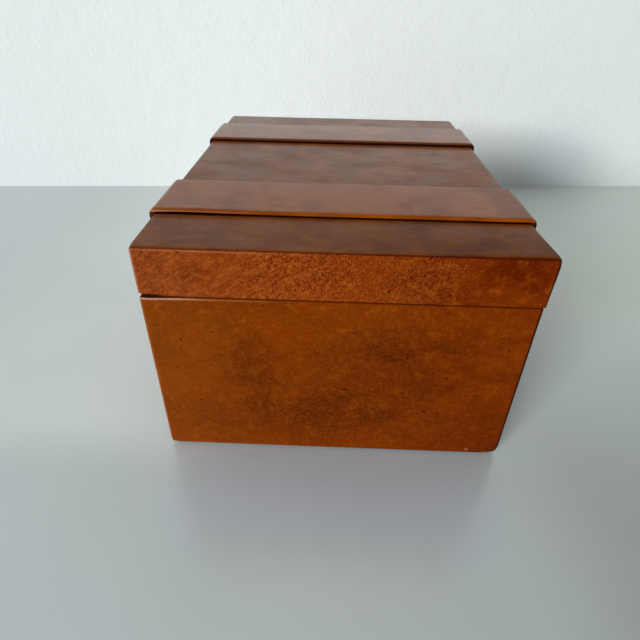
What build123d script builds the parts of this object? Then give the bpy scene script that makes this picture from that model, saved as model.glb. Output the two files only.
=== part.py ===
from build123d import *
from dataclasses import dataclass
from math import radians, tan
import os

# A box for letters and papers: two trays of thin board, each covered in leather and lined
# with suede, joined at the back by a pair of brass stop hinges.  Two leather straps lie
# across the lid and turn down over its long edges.
#
# Millimetres.  X runs along the box, -Y is the side that opens, +Y is the hinged side,
# and Z = 0 is the surface that the box stands on, below the middle of the box.

# Overall form, measured over the leather
box_length = 272.0
box_depth = 200.0
body_height = 107.5  # the standing surface to the body's rim
lid_height = 26.7  # the lid's rim to the lid's top, without the straps
seam_gap = 0.3  # daylight between the two rims when the lid is down
corner_radius = 1.6  # the four upright corners
foot_radius = 1.4  # the edges round the bottom
lid_edge_radius = 1.4  # the edges round the top of the lid
outer_rim_ease = 0.6  # off the outer edge of each rolled rim
inner_rim_ease = 0.4  # off the inner edge of each rolled rim

# Boards of the two trays
wall_thickness = 8.0
base_thickness = 6.0
lid_top_thickness = 6.0
arris = 0.5  # broken off the wood's edges on the closed side of each tray
corner_lap = 3.0  # wood of a long wall left outside the end wall that it houses
panel_rebate = 4.0  # how far the base and the lid top are let into the walls

# Leather, card and felt
leather_thickness = 1.2
turn_in_thickness = 0.6  # the leather is pared thin where it turns inside
body_turn_in = 10.0  # how far the leather shows below the body's rim, inside
lid_turn_in = 7.0
turn_under = 14.0  # leather turned under the base
felt_thickness = 1.0
felt_margin = 4.0  # from the edge of the leather to the edge of the felt
felt_corner_radius = 5.0

# Suede linings
lining_thickness = 1.0
pad_thickness = 1.6  # suede over a soft board, on the floor and inside the lid
pad_edge_radius = 0.6
lining_gap = 0.2  # between neighbouring linings

# Straps
strap_width = 46.0
strap_thickness = 2.7
strap_margin = 40.5  # from an end of the box to the nearer edge of a strap
strap_tail_gap = 3.0  # from the lid's rim to a strap's end
strap_edge_bevel = 0.6
strap_tail_radius = 6.0

# Hinges, one below each strap
hinge_length = 36.0
knuckle_count = 5  # counted from one end: body, lid, stop, lid, body
knuckle_radius = 2.0
knuckle_gap = 0.2  # between neighbouring knuckles
hinge_clearance = 0.3  # round the knuckles and the leaves
stop_angle = 100.0  # how far the lid opens
stop_clearance = 1.5  # degrees left between the halves of the stop
pin_radius = 0.9
pin_clearance = 0.05
pin_head_radius = 1.45
pin_head_height = 0.6
pin_standoff = 0.7  # from the leather of the back to the pin's centre
leaf_thickness = 0.9
leaf_reach = 7.4  # of a leaf over the rim, from the back
leaf_corner_radius = 0.8

# Wood screws of the hinges
screw_spacing = 20.0
screws_per_leaf = 2
screw_radius = 0.8
screw_head_radius = 1.6
screw_head_angle = 82.0
screw_length = 9.0
screw_clearance = 0.03

# Plan sizes of the wood and of the room inside it
carcass_length = box_length - 2 * leather_thickness
carcass_depth = box_depth - 2 * leather_thickness
inner_length = carcass_length - 2 * wall_thickness
inner_depth = carcass_depth - 2 * wall_thickness
panel_length = inner_length + 2 * panel_rebate
panel_depth = inner_depth + 2 * panel_rebate
mouth_length = inner_length - 2 * turn_in_thickness
mouth_depth = inner_depth - 2 * turn_in_thickness
open_length = box_length - 2 * turn_under
open_depth = box_depth - 2 * turn_under

# Places of the straps, and of the hinges below them
strap_offset = box_length / 2 - strap_margin - strap_width / 2
hinge_offset = strap_offset

# Heights of the seam, the lid and the straps
lid_rim = body_height + seam_gap
lid_top = lid_rim + lid_height
strap_top = lid_top + strap_thickness
strap_tail = lid_rim + strap_tail_gap

# Hinge line, and the leaves and screws beside it
pin_y = box_depth / 2 + pin_standoff
pin_z = body_height + seam_gap / 2
knuckle_pitch = hinge_length / knuckle_count
leaf_inner_y = box_depth / 2 - leaf_reach
leaf_outer_y = pin_y - knuckle_radius - hinge_clearance
screw_y = (leaf_inner_y + leaf_outer_y) / 2
sides = {"left": -1, "right": 1}


@dataclass
class Tray:
    """One half of the box, from its closed side to its rim."""

    name: str
    closed: float  # level of the leather over the closed side
    rim: float
    edge_radius: float  # round the closed side
    turn_in: float
    panel_thickness: float

    def __post_init__(self):
        self.way = 1 if self.rim > self.closed else -1  # from the closed side to the rim
        self.wood_closed = self.closed + self.way * leather_thickness
        self.wood_rim = self.rim - self.way * leather_thickness
        self.inside = self.wood_closed + self.way * self.panel_thickness
        self.turn_in_end = self.rim - self.way * self.turn_in
        self.leaf_face = self.wood_rim + self.way * leaf_thickness
        self.closed_side = 0 if self.way > 0 else -1  # in groups ordered by height
        self.rim_side = -1 - self.closed_side


body = Tray("body", felt_thickness, body_height, foot_radius, body_turn_in, base_thickness)
lid = Tray("lid", lid_top, lid_rim, lid_edge_radius, lid_turn_in, lid_top_thickness)


def finish(part, name):
    part.label = name
    export_step(part, f"parts/{name}.step")


# Solids that the pieces share.  Each works in the part that is being built.
def slab(length, depth, level, other_level, x=0.0, y=0.0, corner=0.0, mode=Mode.ADD):
    with BuildSketch(Plane.XY.offset(min(level, other_level))) as outline:
        with Locations((x, y)):
            if corner:
                RectangleRounded(length, depth, corner)
            else:
                Rectangle(length, depth)
    extrude(outline.sketch, amount=abs(other_level - level), mode=mode)


def cylinder_along_x(radius, start, length, mode=Mode.ADD):
    with BuildSketch(Plane.YZ.offset(start)) as outline:
        with Locations((pin_y, pin_z)):
            Circle(radius)
    extrude(outline.sketch, amount=length, mode=mode)


def wood_block(tray):
    # The whole carcass of a tray as one block, before it is parted into boards
    corner = max(corner_radius - leather_thickness, 2 * arris)
    slab(carcass_length, carcass_depth, tray.wood_closed, tray.wood_rim, corner=corner)
    chamfer(edges().group_by(Axis.Z)[tray.closed_side], arris)


def hinge_rooms():
    # Room for the barrels in what stands beside them
    for side in sides.values():
        room = hinge_length + 2 * (pin_head_height + hinge_clearance)
        cylinder_along_x(
            knuckle_radius + hinge_clearance,
            side * hinge_offset - room / 2,
            room,
            Mode.SUBTRACT,
        )


def screw_centres(x):
    middle = (screws_per_leaf - 1) / 2
    return [(x + screw_spacing * (i - middle), screw_y) for i in range(screws_per_leaf)]


# Wood.  The long walls run to the corners and house the end walls, and all four are
# rebated for the base or for the lid top.
def panel_seat(tray):
    slab(panel_length, panel_depth, tray.wood_closed, tray.inside, mode=Mode.SUBTRACT)


def long_wall(tray, side):
    with BuildPart() as wall:
        wood_block(tray)
        slab(
            carcass_length,
            wall_thickness,
            tray.wood_closed,
            tray.wood_rim,
            y=side * (carcass_depth - wall_thickness) / 2,
            mode=Mode.INTERSECT,
        )
        for end in sides.values():
            slab(
                wall_thickness,
                wall_thickness - corner_lap,
                tray.wood_closed,
                tray.wood_rim,
                x=end * (carcass_length - wall_thickness) / 2,
                y=side * (carcass_depth - wall_thickness - corner_lap) / 2,
                mode=Mode.SUBTRACT,
            )
        panel_seat(tray)
    return wall.part


def end_wall(tray, side):
    with BuildPart() as wall:
        wood_block(tray)
        slab(
            wall_thickness,
            carcass_depth - 2 * corner_lap,
            tray.wood_closed,
            tray.wood_rim,
            x=side * (carcass_length - wall_thickness) / 2,
            mode=Mode.INTERSECT,
        )
        panel_seat(tray)
    return wall.part


def back_wall(tray):
    # A long wall, grooved for the barrels and bored for the screws
    undrilled = long_wall(tray, 1)
    bore_end = tray.leaf_face - tray.way * (screw_length + screw_clearance)
    with BuildPart() as wall:
        add(undrilled)
        hinge_rooms()
        with BuildSketch(Plane.XY.offset(min(tray.wood_rim, bore_end))) as bores:
            for side in sides.values():
                with Locations(screw_centres(side * hinge_offset)):
                    Circle(screw_radius + screw_clearance)
        extrude(bores.sketch, amount=abs(tray.wood_rim - bore_end), mode=Mode.SUBTRACT)
    return wall.part


def panel(tray):
    with BuildPart() as board:
        slab(panel_length, panel_depth, tray.wood_closed, tray.inside)
    return board.part


# Leather, rolled over the rim and turned inside as far as the linings
def wood_under_leather(tray):
    with BuildPart() as wood:
        wood_block(tray)
        slab(inner_length, inner_depth, tray.turn_in_end, tray.wood_rim, mode=Mode.SUBTRACT)
    return wood.part


def leather_cover(tray):
    wood = wood_under_leather(tray)
    with BuildPart() as cover:
        slab(box_length, box_depth, tray.closed, tray.rim, corner=corner_radius)
        closed_edge = min(tray.edge_radius, 0.9 * corner_radius)
        fillet(edges().group_by(Axis.Z)[tray.closed_side], closed_edge)
        chamfer(edges().group_by(Axis.Z)[tray.rim_side], outer_rim_ease)
        slab(mouth_length, mouth_depth, tray.turn_in_end, tray.rim, mode=Mode.SUBTRACT)
        mouth = [
            edge
            for edge in edges().group_by(Axis.Z)[tray.rim_side]
            if abs(edge.center().X) < inner_length / 2
            and abs(edge.center().Y) < inner_depth / 2
        ]
        chamfer(mouth, min(inner_rim_ease, 0.8 * turn_in_thickness))
        add(wood, mode=Mode.SUBTRACT)
        hinge_rooms()
        for side in sides.values():
            slab(
                hinge_length + 2 * hinge_clearance,
                leaf_reach + hinge_clearance,
                tray.wood_rim,
                tray.rim,
                x=side * hinge_offset,
                y=box_depth / 2 - (leaf_reach + hinge_clearance) / 2,
                mode=Mode.SUBTRACT,
            )
        if tray is body:
            slab(open_length, open_depth, tray.closed, tray.wood_closed, mode=Mode.SUBTRACT)
    return cover.part


# Under the base, card fills the space between the turned-under edges, and felt hides both
def base_infill():
    with BuildPart() as card:
        slab(
            open_length - 2 * lining_gap,
            open_depth - 2 * lining_gap,
            body.closed,
            body.wood_closed,
        )
    return card.part


def base_felt():
    with BuildPart() as felt:
        slab(
            box_length - 2 * felt_margin,
            box_depth - 2 * felt_margin,
            0,
            felt_thickness,
            corner=felt_corner_radius,
        )
    return felt.part


# Linings: four walls of suede between the panel and the turned-in leather, and a soft pad
def linings(tray):
    long_y = (inner_depth - lining_thickness) / 2
    end_x = (inner_length - lining_thickness) / 2
    end_depth = inner_depth - 2 * (lining_thickness + lining_gap)
    top = tray.turn_in_end - tray.way * lining_gap
    places = {
        "front": (inner_length, lining_thickness, 0, -long_y),
        "back": (inner_length, lining_thickness, 0, long_y),
        "left": (lining_thickness, end_depth, -end_x, 0),
        "right": (lining_thickness, end_depth, end_x, 0),
    }
    for place, (length, depth, x, y) in places.items():
        with BuildPart() as lining:
            slab(length, depth, tray.inside, top, x, y)
        finish(lining.part, f"{tray.name}_{place}_lining")


def pad(tray):
    inset = 2 * (lining_thickness + lining_gap)
    face = tray.inside + tray.way * pad_thickness
    with BuildPart() as soft:
        slab(inner_length - inset, inner_depth - inset, tray.inside, face)
        fillet(edges().group_by(Axis.Z)[tray.rim_side], min(pad_edge_radius, 0.6 * pad_thickness))
    return soft.part


# Hinges.  A leaf lies on the wood of each rim, in a window in the leather.  The middle
# knuckle is split between the two leaves, and its halves meet when the lid is fully open.
def stop_cut(tray, start):
    reach = 2 * knuckle_radius
    spread = reach * tan(radians((stop_angle + stop_clearance) / 2))
    with BuildSketch(Plane.YZ.offset(start - knuckle_gap / 2)) as gone:
        with Locations((pin_y, tray.leaf_face + tray.way * knuckle_radius)):
            Rectangle(2 * (knuckle_radius + hinge_clearance), 2 * knuckle_radius)
        with BuildLine():
            Polyline(
                (pin_y, pin_z),
                (pin_y + reach, pin_z - spread),
                (pin_y + reach, pin_z + spread),
                close=True,
            )
        make_face()
    extrude(gone.sketch, amount=knuckle_pitch + knuckle_gap, mode=Mode.SUBTRACT)


def hinge_leaf(tray, x):
    near_end = x - hinge_length / 2
    own = {"body": (0, knuckle_count - 1), "lid": (1, knuckle_count - 2)}[tray.name]
    stop = knuckle_count // 2
    with BuildPart() as leaf:
        slab(
            hinge_length,
            pin_y - leaf_inner_y,
            tray.wood_rim,
            tray.leaf_face,
            x=x,
            y=(pin_y + leaf_inner_y) / 2,
        )
        fillet(
            leaf.edges().filter_by(Axis.Z).group_by(Axis.Y)[0],
            leaf_corner_radius,
        )
        cylinder_along_x(knuckle_radius, near_end, hinge_length)
        for knuckle in range(knuckle_count):
            start = near_end + knuckle * knuckle_pitch
            if knuckle == stop:
                stop_cut(tray, start)
            elif knuckle not in own:
                cylinder_along_x(
                    knuckle_radius + hinge_clearance,
                    start - knuckle_gap / 2,
                    knuckle_pitch + knuckle_gap,
                    Mode.SUBTRACT,
                )
        cylinder_along_x(pin_radius + pin_clearance, near_end, hinge_length, Mode.SUBTRACT)
        face_up = 0 if tray.way > 0 else 180
        for centre in screw_centres(x):
            with Locations(Location((*centre, tray.leaf_face), (face_up, 0, 0))):
                CounterSinkHole(
                    screw_radius + screw_clearance,
                    screw_head_radius + screw_clearance,
                    depth=2 * leaf_thickness,
                    counter_sink_angle=screw_head_angle,
                )
    return leaf.part


def hinge_pin(x):
    near_end = x - hinge_length / 2
    with BuildPart() as pin:
        cylinder_along_x(pin_radius, near_end, hinge_length)
        cylinder_along_x(pin_head_radius, near_end - pin_head_height, pin_head_height)
        cylinder_along_x(pin_head_radius, near_end + hinge_length, pin_head_height)
    return pin.part


def hinge_screws(tray, x):
    # Countersunk screws through one leaf, driven down into the body or up into the lid.
    # Their shanks are plain, without threads.
    head_height = (screw_head_radius - screw_radius) / tan(radians(screw_head_angle / 2))
    inward = -tray.way
    with BuildPart() as screws:
        for centre_x, centre_y in screw_centres(x):
            with BuildSketch(Plane.XZ.offset(-centre_y)) as profile:
                with BuildLine():
                    Polyline(
                        (centre_x, tray.leaf_face),
                        (centre_x + screw_head_radius, tray.leaf_face),
                        (centre_x + screw_radius, tray.leaf_face + inward * head_height),
                        (centre_x + screw_radius, tray.leaf_face + inward * screw_length),
                        (centre_x, tray.leaf_face + inward * screw_length),
                        close=True,
                    )
                make_face()
            revolve(profile.sketch, axis=Axis((centre_x, centre_y, 0), (0, 0, 1)))
    return screws.part


# Straps: a band of thick leather with eased edges, up one long side of the lid, across
# its top and down the other
def strap(x):
    side_y = box_depth / 2
    with BuildPart() as band:
        with BuildLine() as path:
            FilletPolyline(
                (x, -side_y, strap_tail),
                (x, -side_y, lid_top),
                (x, side_y, lid_top),
                (x, side_y, strap_tail),
                radius=lid_edge_radius,
            )
        with BuildSketch(Plane.XY.offset(strap_tail)) as section:
            with Locations((x, -side_y - strap_thickness / 2)):
                Rectangle(strap_width, strap_thickness)
            chamfer(section.vertices().group_by(Axis.Y)[0], strap_edge_bevel)
        sweep(section.sketch, path=path.line)
        with BuildSketch(Plane.XZ.offset(-side_y - 2 * strap_thickness)) as outline:
            with Locations((x, strap_top)):
                RectangleRounded(strap_width, 2 * (strap_top - strap_tail), strap_tail_radius)
        extrude(outline.sketch, amount=2 * (side_y + 2 * strap_thickness), mode=Mode.INTERSECT)
    return band.part


os.makedirs("parts", exist_ok=True)

for tray in (body, lid):
    for place, side in {"front": -1, "back": 1}.items():
        wall = back_wall(tray) if side > 0 else long_wall(tray, side)
        finish(wall, f"{tray.name}_{place}_wall")
    for place, side in sides.items():
        finish(end_wall(tray, side), f"{tray.name}_{place}_wall")
    finish(leather_cover(tray), f"{tray.name}_leather")
    linings(tray)
    for place, side in sides.items():
        x = side * hinge_offset
        finish(hinge_leaf(tray, x), f"{place}_hinge_{tray.name}_leaf")
        finish(hinge_screws(tray, x), f"{place}_hinge_{tray.name}_screws")

finish(panel(body), "body_base_board")
finish(panel(lid), "lid_top_board")
finish(base_infill(), "base_infill")
finish(base_felt(), "base_felt")
finish(pad(body), "body_floor_pad")
finish(pad(lid), "lid_ceiling_pad")

for place, side in sides.items():
    finish(hinge_pin(side * hinge_offset), f"{place}_hinge_pin")
    finish(strap(side * strap_offset), f"{place}_strap")
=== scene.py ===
import math
from types import SimpleNamespace

import bmesh
import bpy
from mathutils import Euler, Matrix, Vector, noise


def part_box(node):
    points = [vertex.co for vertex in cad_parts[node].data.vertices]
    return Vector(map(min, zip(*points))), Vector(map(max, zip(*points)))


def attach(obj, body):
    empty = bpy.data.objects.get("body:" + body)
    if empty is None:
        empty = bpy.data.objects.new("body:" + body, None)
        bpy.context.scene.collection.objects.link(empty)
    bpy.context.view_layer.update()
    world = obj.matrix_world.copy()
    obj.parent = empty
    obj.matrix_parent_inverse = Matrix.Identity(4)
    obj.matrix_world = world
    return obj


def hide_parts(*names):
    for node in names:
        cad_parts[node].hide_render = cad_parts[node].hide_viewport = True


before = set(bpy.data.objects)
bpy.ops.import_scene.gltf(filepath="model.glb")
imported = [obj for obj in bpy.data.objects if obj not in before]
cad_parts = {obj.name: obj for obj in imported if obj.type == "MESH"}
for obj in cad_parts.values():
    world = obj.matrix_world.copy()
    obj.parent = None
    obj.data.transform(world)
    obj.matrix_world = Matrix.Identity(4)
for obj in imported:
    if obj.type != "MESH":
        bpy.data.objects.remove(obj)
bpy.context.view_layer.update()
scene = bpy.context.scene
mm = 0.001


def span(node):  # a node's lowest and highest corners at rest, in millimetres
    return [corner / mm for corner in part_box(node)]


# Sizes that several pieces share, in millimetres
halfLength, halfDepth = span("body_leather")[1].xy
bodyFoot, bodyRim = [corner.z for corner in span("body_leather")]
lidRim, lidTop = [corner.z for corner in span("lid_leather")]
skin = halfLength - span("body_right_wall")[1].x  # leather over the wood
mouth = halfLength - span("body_right_wall")[0].x  # leather and wood together
turnIn = 0.6  # the leather is pared thin where it turns inside
liningGap = 0.2  # between the turned leather and a lining
bodyTurnEnd = span("body_front_lining")[1].z + liningGap
lidTurnEnd = span("lid_front_lining")[0].z - liningGap
hinges = {side: span(side + "_hinge_body_leaf") for side in ("left", "right")}
pinY = sum(corner.y for corner in span("right_hinge_pin")) / 2
pinZ = (bodyRim + lidRim) / 2
strapLow, strapHigh = span("right_strap")
strapMiddle, strapHalf = (strapLow.x + strapHigh.x) / 2, (strapHigh.x - strapLow.x) / 2
print("frame loaded:", len(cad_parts), "nodes")


def tone(red, green, blue):  # a colour as the eye names it, turned to light
    return tuple(c / 12.92 if c <= 0.04045 else ((c + 0.055) / 1.055) ** 2.4
                 for c in (red / 255, green / 255, blue / 255))


class Term:  # a socket, so that maths on it reads as a plain expression
    def __init__(self, paint, socket):
        self.paint, self.socket = paint, socket

    def math(self, operation, *values):
        return self.paint.add("ShaderNodeMath", {"operation": operation}, dict(enumerate(values)))

    def __add__(self, other):
        return self.math("ADD", self, other)

    def __radd__(self, other):
        return self.math("ADD", other, self)

    def __sub__(self, other):
        return self.math("SUBTRACT", self, other)

    def __rsub__(self, other):
        return self.math("SUBTRACT", other, self)

    def __mul__(self, other):
        return self.math("MULTIPLY", self, other)

    def __rmul__(self, other):
        return self.math("MULTIPLY", other, self)

    def __abs__(self):
        return self.math("ABSOLUTE", self)

    def least(self, other):
        return self.math("MINIMUM", self, other)

    def most(self, other):
        return self.math("MAXIMUM", self, other)

    def clamp(self):
        return self.most(0).least(1)

    def ramp(self, low, high):  # 0 at low and 1 at high, smooth; the other way round if low > high
        if low > high:
            return 1 - self.ramp(high, low)
        return self.paint.add("ShaderNodeMapRange", {"interpolation_type": "SMOOTHSTEP"},
                              {"Value": self, "From Min": low, "From Max": high})


class Paint:  # one material and its nodes
    def __init__(self, name):
        self.material = bpy.data.materials.new(name)
        self.material.use_nodes = True
        self.tree = self.material.node_tree
        self.tree.nodes.clear()
        point = self.add("ShaderNodeTexCoord", {}, {}, "Object")
        self.spot = self.add("ShaderNodeVectorMath", {"operation": "SCALE"},
                             {0: point, "Scale": 1 / mm})  # millimetres in the frame
        self.x, self.y, self.z = self.axes(self.spot)

    def add(self, kind, settings, sockets, output=0):
        node = self.tree.nodes.new(kind)
        for key, value in settings.items():
            setattr(node, key, value)
        for key, value in sockets.items():
            if isinstance(value, Term):
                self.tree.links.new(value.socket, node.inputs[key])
            elif node.inputs[key].type == "RGBA":
                node.inputs[key].default_value = (*value, 1.0)
            else:
                node.inputs[key].default_value = value
        return None if output is None else Term(self, node.outputs[output])

    def axes(self, vector):
        return [self.add("ShaderNodeSeparateXYZ", {}, {0: vector}, axis) for axis in "XYZ"]

    def stretch(self, factors):
        return self.add("ShaderNodeVectorMath", {"operation": "MULTIPLY"}, {0: self.spot, 1: factors})

    def cloud(self, size, detail=2.0, roughness=0.5, where=None, distortion=0.0):  # size in mm
        return self.add("ShaderNodeTexNoise", {},
                        {"Vector": where or self.spot, "Scale": 1 / size, "Detail": detail,
                         "Roughness": roughness, "Distortion": distortion})

    def cells(self, size):  # distance from the nearest of many scattered points; size in mm
        return self.add("ShaderNodeTexVoronoi", {}, {"Vector": self.spot, "Scale": 1 / size}, "Distance")

    def join(self, x, y, z):
        return self.add("ShaderNodeCombineXYZ", {}, {0: x, 1: y, 2: z})

    def reach(self, x, y, z, where=None):  # distance from a place, mm
        return self.add("ShaderNodeVectorMath", {"operation": "DISTANCE"},
                        {0: where or self.spot, 1: (x, y, z)}, 1)

    def blend(self, factor, first, second, mode="MIX"):
        return self.add("ShaderNodeMix", {"data_type": "RGBA", "blend_type": mode},
                        {0: factor, 6: first, 7: second}, 2)

    def tint(self, colour, by):
        return self.blend(1, colour, by, "MULTIPLY")

    def vary(self, colour, term, amount):  # darker where term is 0 and lighter where it is 1
        return self.tint(colour, 1 - amount + term * (2 * amount))

    def bump(self, height, distance, under=None):  # height 0 to 1, distance in mm
        sockets = {"Height": height, "Distance": distance * mm, "Strength": 1.0}
        if under:
            sockets["Normal"] = under
        return self.add("ShaderNodeBump", {}, sockets)

    def principled(self, **sockets):
        return self.add("ShaderNodeBsdfPrincipled", {},
                        {key.replace("_", " "): value for key, value in sockets.items()})

    def finish(self, **sockets):
        return self.output(self.principled(**sockets))

    def oneSided(self, **sockets):  # clear when seen from behind
        behind = self.add("ShaderNodeNewGeometry", {}, {}, "Backfacing")
        clear = self.add("ShaderNodeBsdfTransparent", {}, {})
        front = self.principled(**sockets)
        return self.output(self.add("ShaderNodeMixShader", {}, {0: behind, 1: front, 2: clear}))

    def output(self, surface):
        self.add("ShaderNodeOutputMaterial", {}, {"Surface": surface}, None)
        return self.material


def ringPoints(halfU, halfV, corner, counts):
    # Once round a rectangle with round corners; points crowd a little towards the corners
    alongU, alongV, around = counts
    a, b = halfU - corner, halfV - corner
    points = []
    for side in range(4):
        long, count = (a, alongU) if side % 2 == 0 else (b, alongV)
        reach = halfV if side % 2 == 0 else halfU
        turn = side * math.pi / 2
        for i in range(count + 1):
            share = 0.6 * i / count + 0.2 * (1 - math.cos(math.pi * i / count))
            points.append((long * (2 * share - 1), -reach, turn))
        cornerLong, cornerReach = (a, b) if side % 2 == 0 else (b, a)
        for step in range(1, around):
            angle = step / around * math.pi / 2
            points.append((cornerLong + corner * math.sin(angle),
                           -cornerReach - corner * math.cos(angle), turn))
    return [(x * math.cos(t) - y * math.sin(t), x * math.sin(t) + y * math.cos(t))
            for x, y, t in points]


def bridge(shape, rows, ends=False):  # faces between each closed row of points and the next
    for first, second in zip(rows, rows[1:]):
        for i in range(len(first)):
            j = (i + 1) % len(first)
            shape.faces.new((first[i], first[j], second[j], second[i]))
    for row in (rows[0], rows[-1]) if ends else ():
        shape.faces.new(row)


def loft(halfU, halfV, rings, counts, capped, place=lambda u, v, h: (u, v, h)):
    # Skins a run of (inset, height, corner) rings; capped ends get a grid, others are joined up.
    # A ring with a fourth value lies against something and isn't weathered.
    shape = bmesh.new()
    against = shape.verts.layers.int.new("against")
    rows = []
    for inset, height, corner, *flag in rings:
        outline = ringPoints(halfU - inset, halfV - inset, corner, counts)
        rows.append([shape.verts.new(place(u, v, height)) for u, v in outline])
        for vertex in rows[-1]:
            vertex[against] = int(bool(flag))
    bridge(shape, rows if capped else [*rows, rows[0]])
    if capped:
        alongU, alongV, around = counts
        for inset, height, _, *flag in (rings[0], rings[-1]):
            edge = ringPoints(halfU - inset, halfV - inset, 0, counts)
            acrossU = [u for u, v in edge[:alongU + 1]]
            start = alongU + around
            acrossV = [v for u, v in edge[start:start + alongV + 1]]
            grid = [[shape.verts.new(place(u, v, height)) for u in acrossU] for v in acrossV]
            for vertex in sum(grid, []):
                vertex[against] = int(bool(flag))
            for j in range(alongV):
                for i in range(alongU):
                    shape.faces.new((grid[j][i], grid[j][i + 1], grid[j + 1][i + 1], grid[j + 1][i]))
    bmesh.ops.remove_doubles(shape, verts=shape.verts, dist=1e-4)
    bmesh.ops.dissolve_degenerate(shape, edges=shape.edges, dist=1e-5)
    bmesh.ops.recalc_face_normals(shape, faces=shape.faces)
    return shape


def outside(shape):  # the vertices that don't lie against something
    against = shape.verts.layers.int["against"]
    return [vertex for vertex in shape.verts if not vertex[against]]


def arc(inset, height, radius, start, end, steps=6):  # points of a rolled edge, degrees
    turns = [math.radians(start + (end - start) * i / steps) for i in range(steps + 1)]
    return [(inset + radius * math.cos(turn), height + radius * math.sin(turn)) for turn in turns]


def ripple(point, size, seed):  # smooth noise, -1 to 1
    return noise.noise(Vector(point) / size + Vector((seed, 2 * seed, 3 * seed)))


def falloff(share):  # 1 at nought, easing to 0 at one
    share = min(max(share, 0.0), 1.0)
    return (1 - share) ** 2 * (1 + 2 * share)


def wearCorner(point, corner, outward, radii, reach):
    # Rounds the three edges that meet at a corner, less and less away from it
    deep = [(c - p) * o for p, c, o in zip(point, corner, outward)]
    if max(deep) > reach + max(radii):
        return point
    for first, second, third in ((0, 1, 2), (1, 2, 0), (0, 2, 1)):
        fade = falloff(deep[third] / reach)
        ra, rb = radii[first] * fade, radii[second] * fade
        if ra < 0.05 or rb < 0.05:
            continue
        a, b = 1 - deep[first] / ra, 1 - deep[second] / rb
        far = math.hypot(a, b)
        if a > 0 and b > 0 and far > 1:
            deep[first], deep[second] = ra * (1 - a / far), rb * (1 - b / far)
    return Vector([c - d * o for c, d, o in zip(corner, deep, outward)])


def meshOf(shape, name):
    mesh = bpy.data.meshes.new(name)
    shape.to_mesh(mesh)
    shape.free()
    return mesh


def linkObject(name, data):
    held = bpy.data.objects.new(name, data)
    scene.collection.objects.link(held)
    return held


def makeObject(name, shape, material, body, node, sharp=38):
    for vertex in shape.verts:
        vertex.co *= mm
    mesh = meshOf(shape, name)
    piece = linkObject(name, mesh)
    mesh.materials.append(material)
    mesh.shade_smooth()
    mesh.set_sharp_from_angle(angle=math.radians(sharp))
    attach(piece, body)
    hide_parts(node)
    return piece


def boxShape(low, high):  # a plain block to cut with, millimetres
    shape = bmesh.new()
    bmesh.ops.create_cube(shape, size=1)
    for vertex in shape.verts:
        vertex.co = Vector(start + (share + 0.5) * (end - start)
                           for share, start, end in zip(vertex.co, low, high))
    return shape


def rodShape(centre, radius, length):  # a round bar along X to cut with
    shape = bmesh.new()
    bmesh.ops.create_cone(shape, cap_ends=True, segments=48, radius1=radius, radius2=radius, depth=length)
    for vertex in shape.verts:
        x, y, z = vertex.co
        vertex.co = Vector((z, y, -x)) + Vector(centre)
    return shape


def carve(shape, cutters):
    # Cuts each closed shape out of the first
    whole, *tools = [linkObject("cut", meshOf(solid, "cut")) for solid in (shape, *cutters)]
    for tool in tools:
        cut = whole.modifiers.new("cut", "BOOLEAN")
        cut.operation, cut.solver, cut.object = "DIFFERENCE", "MANIFOLD", tool
    bpy.context.view_layer.update()
    ready = whole.evaluated_get(bpy.context.evaluated_depsgraph_get())
    result = bmesh.new()
    result.from_mesh(ready.to_mesh())
    ready.to_mesh_clear()
    for held in [whole, *tools]:
        mesh = held.data
        bpy.data.objects.remove(held)
        bpy.data.meshes.remove(mesh)
    many = [face for face in result.faces if len(face.verts) > 4]
    bmesh.ops.triangulate(result, faces=many, ngon_method="BEAUTY")  # no slivers beside a cut
    if result.calc_volume(signed=True) < 0:
        bmesh.ops.reverse_faces(result, faces=result.faces)
    return result


cover = {  # the leather over the two trays
    "corner": 1.6, "footRadius": 1.4, "topRadius": 1.4, "rimRadius": 0.6, "lipRadius": 0.4,
    "turnUnder": 14.0,
    "counts": (110, 84, 8),  # points along a long side, along an end and round a corner
    "sway": 0.16,  # how far the faces wander, mm
    "bodyWear": [  # corner, how far its edges are rounded along x, y and z, and for what length
        ((1, -1, -1), (2.0, 2.8, 3.2), 12), ((1, 1, -1), (2.4, 4.4, 8.0), 14),
        ((-1, -1, -1), (2.4, 2.2, 4.0), 13), ((-1, 1, -1), (2.2, 2.4, 3.2), 12),
        ((1, -1, 1), (1.2, 2.4, 1.0), 12), ((1, 1, 1), (1.0, 1.2, 1.0), 8),
        ((-1, -1, 1), (1.4, 1.8, 1.2), 9), ((-1, 1, 1), (1.1, 1.2, 1.0), 8)],
    "lidWear": [
        ((1, -1, 1), (2.2, 2.4, 3.0), 9), ((1, 1, 1), (1.7, 1.8, 2.2), 8),
        ((-1, -1, 1), (2.0, 2.2, 2.0), 10), ((-1, 1, 1), (2.0, 2.0, 2.2), 10),
        ((1, -1, -1), (1.1, 2.0, 1.0), 12), ((1, 1, -1), (0.9, 1.0, 1.0), 8),
        ((-1, -1, -1), (1.3, 1.5, 1.2), 8), ((-1, 1, -1), (1.2, 1.2, 1.1), 8)],
    "overhang": 1.5, "overhangReach": 38.0,  # of the lid past the body at the near end of the back
    "plump": (1.0, 34.0, 110.0),  # how much thicker the lid is at the near back corner, along x and y
    "gape": (0.9, 0.7, 15.0, 46.0, 7.0),  # of lid and body at the near front corner, and along y, x and z
    "windowAir": 0.3,  # round a hinge leaf
    "barrelGroove": 2.3,
    "barrelAir": 0.6,  # past each end of a barrel
}


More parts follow.
